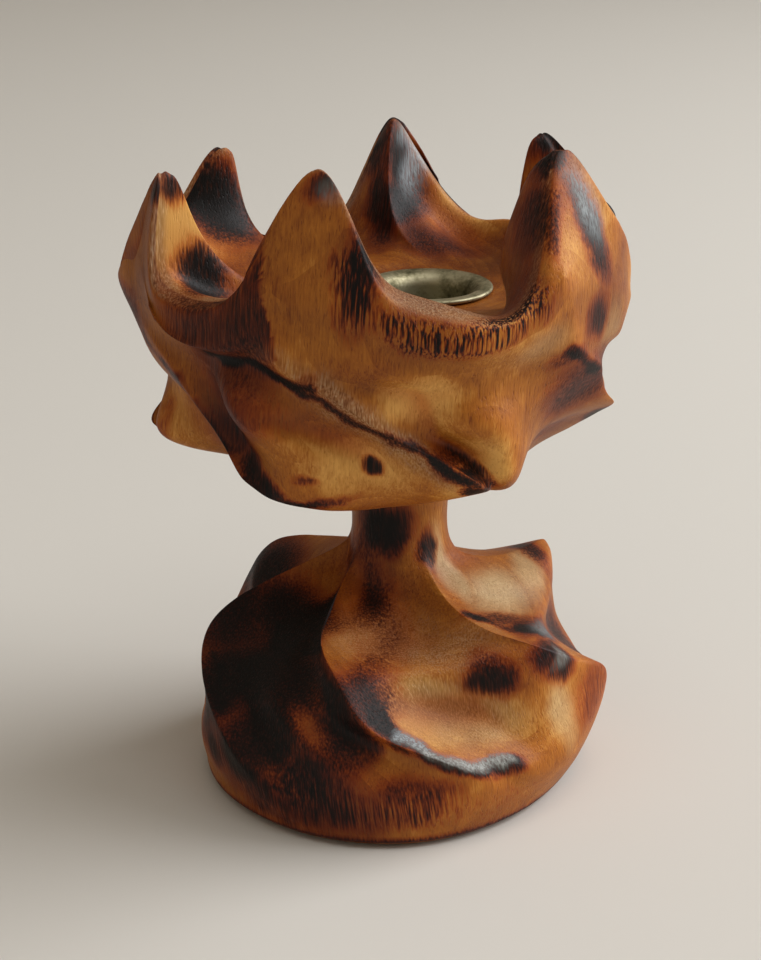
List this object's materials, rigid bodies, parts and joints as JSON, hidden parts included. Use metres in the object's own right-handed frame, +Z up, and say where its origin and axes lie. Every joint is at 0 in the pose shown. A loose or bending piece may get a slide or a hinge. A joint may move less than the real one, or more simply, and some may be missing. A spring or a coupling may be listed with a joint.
{
  "type": "candlestick",
  "caption": "Carved and charred wooden candlestick: a pointed crown-shaped bowl on a twisted pedestal, with a lift-out metal candle cup and a felt foot pad.",
  "frame": {"origin": "centre of the felt pad's underside, on the stem's axis, where the candlestick stands on the table", "axes": "+Z up along the stem and out of the candle cup, -Y towards the front of the carving, +X to its right"},
  "size_m": [0.1289, 0.1186, 0.1718],
  "materials": {
    "crown_wood": "charred, sanded and waxed, satin",
    "pedestal_wood": "charred, sanded and waxed, satin",
    "dowel_wood": "plain turned beech",
    "aged_brass": "aged satin, pale green-grey",
    "felt": "matte felt"
  },
  "bodies": {
    "stand": {"crown": "crown_wood", "pedestal": "pedestal_wood", "joint_dowel": "dowel_wood", "felt_pad": "felt"},
    "cup": {"candle_cup": "aged_brass"}
  },
  "joints": [
    {"name": "cup_lift", "type": "slide", "parent": "stand", "child": "cup", "axis": [0, 0, 1], "range_m": [0, 0.06]}
  ]
}
